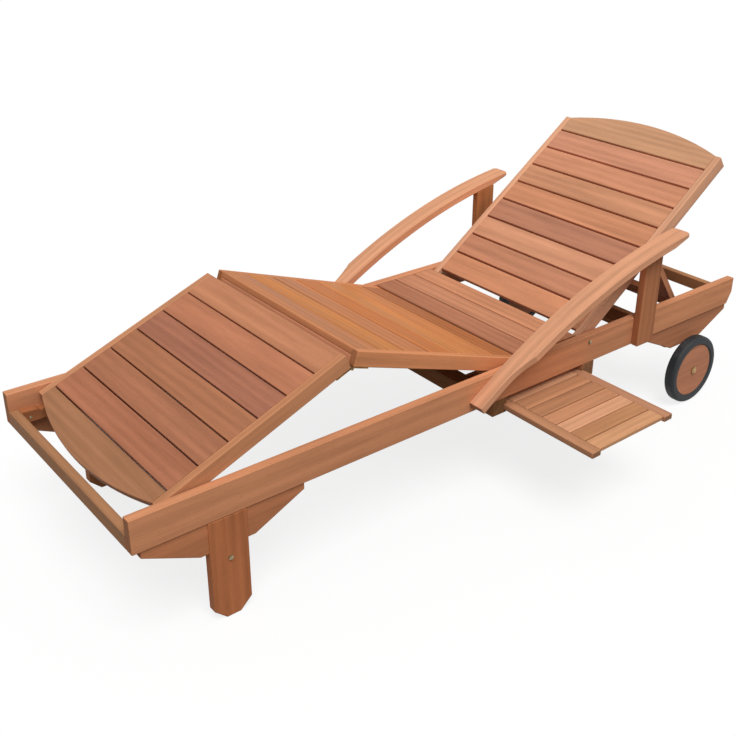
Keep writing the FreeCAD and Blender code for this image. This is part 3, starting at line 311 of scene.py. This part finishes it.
def makeWood(name, finish):
    material, tree, surface, coordinates = startMaterial(name)
    place, normal = coordinates.outputs["Object"], coordinates.outputs["Normal"]
    if "bowCentre" in finish:
        straight = useGroup(tree, bowSpot, {"Vector": place, "Normal": normal,
                                            "Centre": finish["bowCentre"], "Radius": finish["bowRadius"]})
        vector, end = straight["Vector"], straight["End"]
    else:
        turn = grainTurn(finish.get("lean", 0), finish["along"])
        vector = turned(tree, place, turn, finish.get("pivot", (0, 0, 0)))
        across = separate(tree, turned(tree, normal, turn))[0]
        end = rise(tree, maths(tree, "ABSOLUTE", across), endLimits)
    number = useGroup(tree, boardNumber, {
        "Vector": vector, "Start": finish["start"], "Pitch": finish["pitch"], "Seed": finish["seed"],
        "Odd Board": finish.get("oddBoard", noOddBoard)})
    grain = useGroup(tree, boardGrain, {
        "Vector": vector, "Board": number["Board"], "End": end, "Odd": number["Odd"],
        "Light": shaded(finish["colour"], woodLook["lightest"]),
        "Dark": shaded(finish["colour"], woodLook["darkest"]),
        "Figure": woodLook["figure"], "Spread": finish.get("spread", woodLook["spread"]),
        "Hue Spread": woodLook["hueSpread"], "Odd Tint": finish.get("oddTint", woodLook["oddTint"])})
    finishSurface(tree, surface, grain, woodLook)
    surface.inputs["Specular IOR Level"].default_value = woodLook["shine"]
    return material


# Start and pitch divide space into cells, one for each board of a finish
farOff = 9.0      # a pitch longer than the lounger, for directions without rows
farStart = -farOff / 2
sideStart = middleY - 0.5
sidePair = (farOff, 0.5, farOff)      # splits left from right
halfWay = (farStart, sideStart, farStart)

# Where the middle of a gap lies in each row of slats, and the slats' pitch
slatRows = {
    "back": {"gap": -6.25 * mm, "pitch": 77.35 * mm},
    "thigh": {"gap": -10.5 * mm, "pitch": 78.71 * mm},
    "calf": {"gap": -0.1 * mm, "pitch": 77.9 * mm},
    "seat": {"gap": -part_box("seat_slat_rear")[1].x - 2 * mm, "pitch": 71 * mm},
    "tray": {"gap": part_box("tray_slats")[0].y - 1.8 * mm, "pitch": 47.6 * mm},
}


def rowOf(name):
    row = slatRows[name]
    return {"start": (farStart, row["gap"], farStart), "pitch": (farOff, row["pitch"], farOff)}


onBack = {"lean": -backTilt, "pivot": backPivot}
onProp = {"lean": propTilt, "pivot": propPivot}
onThigh = {"lean": thighTilt, "pivot": thighPivot}
onCalf = {"lean": -calfTilt, "pivot": kneePivot}
pair = {"start": (farStart, -0.5, farStart), "pitch": sidePair}
oneBoard = {"start": (farStart, farStart, farStart), "pitch": (farOff, farOff, farOff)}

woodFinishes = {
    "railWood": {
        "nodes": ["side_rail_left", "side_rail_right"], "colour": "#D6936B", "seed": 371,
        "along": "x", "start": halfWay, "pitch": sidePair, "spread": 0.06},
    # The blocks' wood is the rails' wood darkened: painted shade for their place below the rails
    "shadedBlockWood": {
        "nodes": ["foot_block_left", "foot_block_right", "head_block_left", "head_block_right"],
        "colour": "#C4815A", "seed": 121,
        "along": "x", "start": (-2, sideStart, farStart), "pitch": (2, 0.5, farOff), "spread": 0.06},
    "legWood": {
        "nodes": ["front_leg_left", "front_leg_right", "arm_post_left", "arm_post_right",
                  "axle_hanger_left", "axle_hanger_right"],
        "colour": "#BB764C", "seed": 5,
        "along": "z", "start": (farStart, sideStart, -4), "pitch": (farOff, 0.5, 0.7), "spread": 0.1},
    # The crossbars' and runners' wood is partly their own darker tone, partly darkened as painted shade for their
    # faces turned from the light
    "partShadedCrossbarWood": {
        "nodes": ["foot_crossbar", "rear_crossbar", "head_crossbar", "leg_stretcher", "head_stretcher",
                  "tray_runner_front", "tray_runner_rear"],
        "colour": "#AD7852", "seed": 8,
        "along": "y", "start": (farStart, -3, farStart), "pitch": (farOff, 0.11, farOff), "spread": 0.16},
    "cleatWood": {
        "nodes": ["seat_ledger_left", "seat_ledger_right", "back_rack_left", "back_rack_right",
                  "knee_rack_left", "knee_rack_right"],
        "colour": "#AC6F4C", "seed": 2,
        "along": "x", "start": (-2.3, sideStart, farStart), "pitch": (0.8, 0.5, farOff)},
    "seatWood": {
        "nodes": ["seat_slat_front", "seat_slat_middle", "seat_slat_rear"],
        "colour": "#C78561", "seed": 545, "along": "y", **rowOf("seat"), "spread": 0.44},
    "armWood": {
        "nodes": ["arm_left", "arm_right"], "colour": "#DEA07B", "seed": 264,
        "bowCentre": (0.863, 0.0, -1.1046), "bowRadius": 1.7,
        "start": halfWay, "pitch": sidePair, "spread": 0.06},
    "backStileWood": {
        "nodes": ["back_stile_left", "back_stile_right"], "colour": "#DEA582", "seed": 321, "along": "x",
        **onBack, **pair, "spread": 0.1},
    "backSlatWood": {
        "nodes": ["back_slats"], "colour": "#D3926E", "seed": 1477, "along": "y",
        **onBack, **rowOf("back"), "spread": 0.38, "oddBoard": -4, "oddTint": (0.93, 0.92, 1.1, 1)},
    "topSlatWood": {
        "nodes": ["back_top_slat"], "colour": "#D9A582", "seed": 33, "along": "y", **onBack, **oneBoard},
    "propWood": {
        "nodes": ["prop_arm_left", "prop_arm_right"], "colour": "#C98863", "seed": 214, "along": "x",
        **onProp, **pair},
    "propFootWood": {
        "nodes": ["prop_foot_board"], "colour": "#BF7F5A", "seed": 4, "along": "y", **onProp, **oneBoard},
    "thighStileWood": {
        "nodes": ["thigh_stile_left", "thigh_stile_right"], "colour": "#D88F61", "seed": 275, "along": "x",
        **onThigh, **pair, "spread": 0.1},
    "thighSlatWood": {
        "nodes": ["thigh_slats"], "colour": "#C98456", "seed": 412, "along": "y",
        **onThigh, **rowOf("thigh"), "spread": 0.36},
    # The knee rail's wood is lighter than its own tone: painted light that lifts its edge out of the shade in the
    # knee's gap
    "litKneeRailWood": {
        "nodes": ["knee_rail"], "colour": "#D99C78", "seed": 10, "along": "y", **onThigh, **oneBoard},
    "calfStileWood": {
        "nodes": ["calf_stile_left", "calf_stile_right"], "colour": "#CB8D66", "seed": 338, "along": "x",
        **onCalf, **pair, "spread": 0.1},
    "calfSlatWood": {
        "nodes": ["calf_slats"], "colour": "#B77959", "seed": 3014, "along": "y",
        **onCalf, **rowOf("calf"), "spread": 0.46, "oddBoard": 2, "oddTint": (0.97, 1.0, 1.25, 1)},
    "footSlatWood": {
        "nodes": ["calf_foot_slat"], "colour": "#A97553", "seed": 41, "along": "y", **onCalf, **oneBoard},
    "trayStileWood": {
        "nodes": ["tray_stile_front", "tray_stile_rear"], "colour": "#C18B6A", "seed": 7,
        "along": "y", "start": (farStart, -2.15, farStart), "pitch": (farOff, 0.15, farOff),
        "spread": 0.08},
    "traySlatWood": {
        "nodes": ["tray_slats"], "colour": "#CB946E", "seed": 447, "along": "x", **rowOf("tray"),
        "spread": 0.44},
    "discWood": {
        "nodes": ["wheel_disc_left", "wheel_disc_right"], "colour": "#C88A6A", "seed": 309,
        "along": "x", "start": halfWay, "pitch": sidePair, "spread": 0.08},
}


def dressNode(name, material):
    mesh = nodes[name].data
    mesh.materials.clear()
    mesh.materials.append(material)


def dressWood():
    for name, finish in woodFinishes.items():
        material = makeWood(name, finish)
        for node in finish["nodes"]:
            dressNode(node, material)
    print("wood:", len(woodFinishes), "finishes")


metalFinishes = {
    "boltSteel": {"nodes": ["axle", "back_pivot_bolts", "thigh_pivot_bolts", "frame_bolts",
                            "prop_pivot_bolts"],
                  "clean": "#A99B7E", "dull": "#77694E", "roughness": 0.36},
    "hubBrass": {"nodes": ["axle_fittings"], "clean": "#BFA071", "dull": "#836A45", "roughness": 0.34},
    "hingeBrass": {"nodes": ["knee_hinge_thigh", "knee_hinge_calf"],
                   "clean": "#A08052", "dull": "#6C5434", "roughness": 0.4},
}


def makeMetal(name, finish):
    material, tree, surface, coordinates = startMaterial(name)
    wear = useGroup(tree, metalWear, {
        "Vector": coordinates.outputs["Object"], "Clean": hexColour(finish["clean"]),
        "Dull": hexColour(finish["dull"]), "Roughness": finish["roughness"]})
    finishSurface(tree, surface, wear, wearLook)
    surface.inputs["Metallic"].default_value = 1.0
    return material


tyreLook = {"clean": "#27292C", "dust": "#3B3C3D", "dustScale": 38.0, "dustDetail": 5,
            "dustLimits": (0.45, 0.75), "roughness": 0.55, "dustRough": 0.2, "shine": 0.3,
            "skinScale": 900.0, "skinDetail": 2, "bump": 0.2, "depth": 0.0004}


def makeTyreRubber():
    material, tree, surface, coordinates = startMaterial("tyreRubber")
    spot = coordinates.outputs["Object"]
    dust = noise(tree, spot, tyreLook["dustScale"], tyreLook["dustDetail"])
    skin = noise(tree, spot, tyreLook["skinScale"], tyreLook["skinDetail"])
    patch = rise(tree, dust, tyreLook["dustLimits"])
    colour = blend(tree, patch, hexColour(tyreLook["clean"]), hexColour(tyreLook["dust"]))
    tree.links.new(colour, surface.inputs["Base Color"])
    rough = maths(tree, "ADD", tyreLook["roughness"], maths(tree, "MULTIPLY", patch, tyreLook["dustRough"]))
    tree.links.new(rough, surface.inputs["Roughness"])
    surface.inputs["Specular IOR Level"].default_value = tyreLook["shine"]
    addRelief(tree, surface, skin, tyreLook)
    return material


def dressFittings():
    metals = {}
    for name, finish in metalFinishes.items():
        metals[name] = makeMetal(name, finish)
        for node in finish["nodes"]:
            dressNode(node, metals[name])
    rubber = makeTyreRubber()
    for node in ("tyre_left", "tyre_right"):
        dressNode(node, rubber)
    print("metal:", len(metals), "finishes, and the tyres")
    return metals


dressWood()
metals = dressFittings()


# Sets copies of one fitting on points, each turned to its point's facing
def startFittings(name, sizes):
    tree = bpy.data.node_groups.new(name, "GeometryNodeTree")
    tree.interface.new_socket("Geometry", in_out="INPUT", socket_type="NodeSocketGeometry")
    for label, size in sizes.items():
        socket = tree.interface.new_socket(label, in_out="INPUT", socket_type="NodeSocketFloat")
        socket.default_value = size
    tree.interface.new_socket("Material", in_out="INPUT", socket_type="NodeSocketMaterial")
    tree.interface.new_socket("Geometry", in_out="OUTPUT", socket_type="NodeSocketGeometry")
    return tree, tree.nodes.new("NodeGroupInput").outputs


def finishFittings(tree, given, fitting):
    facing = addNode(tree, "GeometryNodeInputNamedAttribute", {"Name": "facing"}, data_type="FLOAT_VECTOR")
    turn = addNode(tree, "FunctionNodeAlignRotationToVector", {"Vector": facing.outputs["Attribute"]},
                   axis="Z")
    points = addNode(tree, "GeometryNodeMeshToPoints", {"Mesh": given["Geometry"]})
    placed = addNode(tree, "GeometryNodeInstanceOnPoints",
                     {"Points": points.outputs[0], "Instance": fitting, "Rotation": turn.outputs[0]})
    real = addNode(tree, "GeometryNodeRealizeInstances", {"Geometry": placed.outputs[0]})
    coated = addNode(tree, "GeometryNodeSetMaterial",
                     {"Geometry": real.outputs[0], "Material": given["Material"]})
    result = tree.nodes.new("NodeGroupOutput")
    tree.links.new(coated.outputs[0], result.inputs["Geometry"])
    return tree


domeSizes = {"Radius": 5.2 * mm, "Height": 2.0 * mm}      # a bolt head's dome
domeFaces = {"Segments": 28, "Rings": 14}


def makeDomes():
    tree, given = startFittings("boltDomes", domeSizes)
    ball = addNode(tree, "GeometryNodeMeshUVSphere", {**domeFaces, "Radius": given["Radius"]})
    flat = maths(tree, "DIVIDE", given["Height"], given["Radius"])
    scale = combine(tree, {0: 1.0, 1: 1.0, 2: flat})
    dome = addNode(tree, "GeometryNodeTransform", {"Geometry": ball.outputs[0], "Scale": scale}).outputs[0]
    smooth = addNode(tree, "GeometryNodeSetShadeSmooth", {"Geometry": dome}).outputs[0]
    return finishFittings(tree, given, smooth)


screwSizes = {"Radius": 3.6 * mm, "Height": 0.7 * mm, "Slot Length": 4.4 * mm, "Slot Width": 0.9 * mm}
screwForm = {"sides": 24, "topShare": 0.86, "slotLift": 0.9}


def makeScrews():
    tree, given = startFittings("crossScrews", screwSizes)
    top = maths(tree, "MULTIPLY", given["Radius"], screwForm["topShare"])
    head = addNode(tree, "GeometryNodeMeshCone",
                   {"Vertices": screwForm["sides"], "Radius Top": top, "Radius Bottom": given["Radius"],
                    "Depth": given["Height"]}).outputs["Mesh"]
    cuts = []
    long, short = given["Slot Length"], given["Slot Width"]
    for first, second in ((long, short), (short, long)):
        size = combine(tree, {0: first, 1: second, 2: given["Height"]})
        bar = addNode(tree, "GeometryNodeMeshCube", {"Size": size}).outputs["Mesh"]
        lift = combine(tree, {2: maths(tree, "MULTIPLY", given["Height"], screwForm["slotLift"])})
        cut = addNode(tree, "GeometryNodeTransform", {"Geometry": bar, "Translation": lift})
        cuts.append(cut.outputs[0])
    slotted = addNode(tree, "GeometryNodeMeshBoolean", {0: head}, operation="DIFFERENCE")
    for cut in cuts:
        tree.links.new(cut, slotted.inputs[1])
    return finishFittings(tree, given, slotted.outputs["Mesh"])


def setFittings(name, tree, sizes, spots, body, material):
    mesh = bpy.data.meshes.new(name)
    mesh.from_pydata([spot for spot, _ in spots], [], [])
    facing = mesh.attributes.new("facing", "FLOAT_VECTOR", "POINT")
    for index, (_, direction) in enumerate(spots):
        facing.data[index].vector = direction
    piece = bpy.data.objects.new(name, mesh)
    bpy.context.scene.collection.objects.link(piece)
    modifier = piece.modifiers.new(name, "NODES")
    modifier.node_group = tree
    for item in tree.interface.items_tree:
        if item.in_out == "INPUT" and item.name in sizes:
            modifier[item.identifier] = sizes[item.name]
        if item.in_out == "INPUT" and item.name == "Material":
            modifier[item.identifier] = material
    ready = piece.evaluated_get(bpy.context.evaluated_depsgraph_get())
    plain = bpy.data.meshes.new_from_object(ready)
    piece.modifiers.clear()
    piece.data = plain
    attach(piece, body)
    print(name, len(spots), "places,", len(plain.polygons), "faces")


def sideSpots(node):
    low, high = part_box(node)
    out = -1 if low.y + high.y < 2 * middleY else 1
    outer = low.y if out < 0 else high.y
    inner = high.y if out < 0 else low.y
    return low, high, out, outer, inner


boltPlaces = {"headHeight": 2.5 * mm}


def domeSpots():
    spots = []
    rise = boltPlaces["headHeight"]
    legBolt = sum((corner.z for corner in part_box("leg_stretcher")), 0.0) / 2
    for side in ("left", "right"):
        low, high, out, outer, _ = sideSpots("front_leg_" + side)
        spots.append((Vector(((low.x + high.x) / 2, outer + out * rise, legBolt)), (0, out, 0)))
        _, _, out, outer, _ = sideSpots("side_rail_" + side)
        for pivot in (backPivot, thighPivot):
            spots.append((Vector((pivot.x, outer + out * rise, pivot.z)), (0, out, 0)))
    return spots


# Screws on the cleats' inner faces, in shares of their length and height
cleatScrews = {
    "seat_ledger": {"along": (0.12, 0.5, 0.88), "up": 0.55},
    "back_rack": {"along": (0.06, 0.94), "up": 0.45},
    "knee_rack": {"along": (0.16, 0.84), "up": 0.4},
}
hangerScrews = {"up": (0.62, 0.88), "fromHead": 19 * mm}
runnerScrews = {"inset": 12 * mm}


def frameScrewSpots():
    spots = []
    for side in ("left", "right"):
        for name, pattern in cleatScrews.items():
            low, high, out, _, inner = sideSpots(f"{name}_{side}")
            height = low.z + pattern["up"] * (high.z - low.z)
            for share in pattern["along"]:
                spots.append((Vector((low.x + share * (high.x - low.x), inner, height)), (0, -out, 0)))
        low, high, out, _, inner = sideSpots("axle_hanger_" + side)
        for share in hangerScrews["up"]:
            height = low.z + share * (high.z - low.z)
            spots.append((Vector((high.x - hangerScrews["fromHead"], inner, height)), (0, -out, 0)))
    for name in ("tray_runner_front", "tray_runner_rear"):
        low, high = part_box(name)
        for across in (low.y + runnerScrews["inset"], high.y - runnerScrews["inset"]):
            spots.append((Vector(((low.x + high.x) / 2, across, low.z)), (0, 0, -1)))
    return spots


leafScrews = {"reach": (18 * mm, 35 * mm), "depth": 1.5 * mm}


# The hinge leaves lie under the stiles on either side of the knee
def leafScrewSpots(stile, lean, towards):
    spots = []
    tilt = Matrix.Rotation(math.radians(lean), 3, "Y")
    down = tilt @ Vector((0, 0, -1))
    for side in ("left", "right"):
        low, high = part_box(f"{stile}_{side}")
        across = (low.y + high.y) / 2
        for reach in leafScrews["reach"]:
            spot = kneePivot + tilt @ Vector((towards * reach, 0, leafScrews["depth"]))
            spots.append((Vector((spot.x, across, spot.z)), down))
    return spots


def addFittings():
    domes = makeDomes()
    screws = makeScrews()
    steel = metals["boltSteel"]
    brass = metals["hingeBrass"]
    setFittings("boltDomes", domes, domeSizes, domeSpots(), "frame", steel)
    setFittings("frameScrews", screws, screwSizes, frameScrewSpots(), "frame", steel)
    thighSpots = leafScrewSpots("thigh_stile", thighTilt, 1)
    calfSpots = leafScrewSpots("calf_stile", -calfTilt, -1)
    setFittings("thighLeafScrews", screws, screwSizes, thighSpots, "thigh_panel", brass)
    setFittings("calfLeafScrews", screws, screwSizes, calfSpots, "calf_panel", brass)


addFittings()

floorLook = {"reach": 60.0, "grey": 0.2, "glow": 0.81}
skyLook = {"strength": 0.38}
sunLook = {"strength": 2.2, "spread": 35.0, "from": (-0.18, -0.45, 0.875)}


# Rays that see the backdrop itself: from the camera, or through a mirror or glass
def seenRays(tree):
    path = addNode(tree, "ShaderNodeLightPath").outputs
    seen = maths(tree, "ADD", path["Is Camera Ray"], path["Is Glossy Ray"])
    return maths(tree, "ADD", seen, path["Is Transmission Ray"], clamp=True)


def makeFloor():
    half = floorLook["reach"]
    mesh = bpy.data.meshes.new("floor")
    corners = [(-half, -half, 0), (half, -half, 0), (half, half, 0), (-half, half, 0)]
    mesh.from_pydata(corners, [], [(0, 1, 2, 3)])
    floor = bpy.data.objects.new("floor", mesh)
    bpy.context.scene.collection.objects.link(floor)
    material = bpy.data.materials.new("paleFloor")
    material.use_nodes = True
    tree = material.node_tree
    tree.nodes.clear()
    matt = addNode(tree, "ShaderNodeBsdfDiffuse", {"Color": (floorLook["grey"],) * 3 + (1.0,)})
    strength = maths(tree, "MULTIPLY", seenRays(tree), floorLook["glow"])
    glow = addNode(tree, "ShaderNodeEmission", {"Strength": strength})
    both = addNode(tree, "ShaderNodeAddShader", {0: matt.outputs[0], 1: glow.outputs[0]})
    addNode(tree, "ShaderNodeOutputMaterial", {"Surface": both.outputs[0]})
    mesh.materials.append(material)


def makeLight():
    world = bpy.data.worlds.new("softSky")
    bpy.context.scene.world = world
    world.use_nodes = True
    tree = world.node_tree
    sky = tree.nodes["Background"]
    sky.inputs["Color"].default_value = (1, 1, 1, 1)
    seen = seenRays(tree)
    lift = maths(tree, "MULTIPLY", seen, 1 - skyLook["strength"])
    tree.links.new(maths(tree, "ADD", lift, skyLook["strength"]), sky.inputs["Strength"])
    lamp = bpy.data.lights.new("softSun", "SUN")
    lamp.energy = sunLook["strength"]
    lamp.angle = math.radians(sunLook["spread"])
    sun = bpy.data.objects.new("softSun", lamp)
    sun.rotation_euler = Vector(sunLook["from"]).to_track_quat("Z", "Y").to_euler()
    bpy.context.scene.collection.objects.link(sun)


cameraLook = {"place": (-1.6184, -1.7526, 1.5100), "yaw": 41.509, "pitch": 25.426, "roll": 1.675,
              "focal": 1009.75, "centre": (428.94, 328.89), "image": 736, "sensor": 36.0}


def makeCamera():
    yaw, pitch, roll = (math.radians(cameraLook[key]) for key in ("yaw", "pitch", "roll"))
    forward = Vector((math.sin(yaw) * math.cos(pitch), math.cos(yaw) * math.cos(pitch), -math.sin(pitch)))
    level = forward.cross(Vector((0, 0, 1))).normalized()
    upright = level.cross(forward)
    right = level * math.cos(roll) + upright * math.sin(roll)
    up = upright * math.cos(roll) - level * math.sin(roll)
    data = bpy.data.cameras.new("photoCamera")
    size = cameraLook["image"]
    data.sensor_width = cameraLook["sensor"]
    data.lens = cameraLook["focal"] / size * cameraLook["sensor"]
    data.shift_x = 0.5 - cameraLook["centre"][0] / size
    data.shift_y = cameraLook["centre"][1] / size - 0.5
    data.clip_end = 200
    camera = bpy.data.objects.new("photoCamera", data)
    bpy.context.scene.collection.objects.link(camera)
    turn = Matrix((right, up, -forward)).transposed().to_4x4()
    camera.matrix_world = Matrix.Translation(cameraLook["place"]) @ turn
    bpy.context.scene.camera = camera


makeFloor()
makeLight()
makeCamera()
bpy.context.scene.view_settings.view_transform = "Standard"
print("stage, light and camera set")
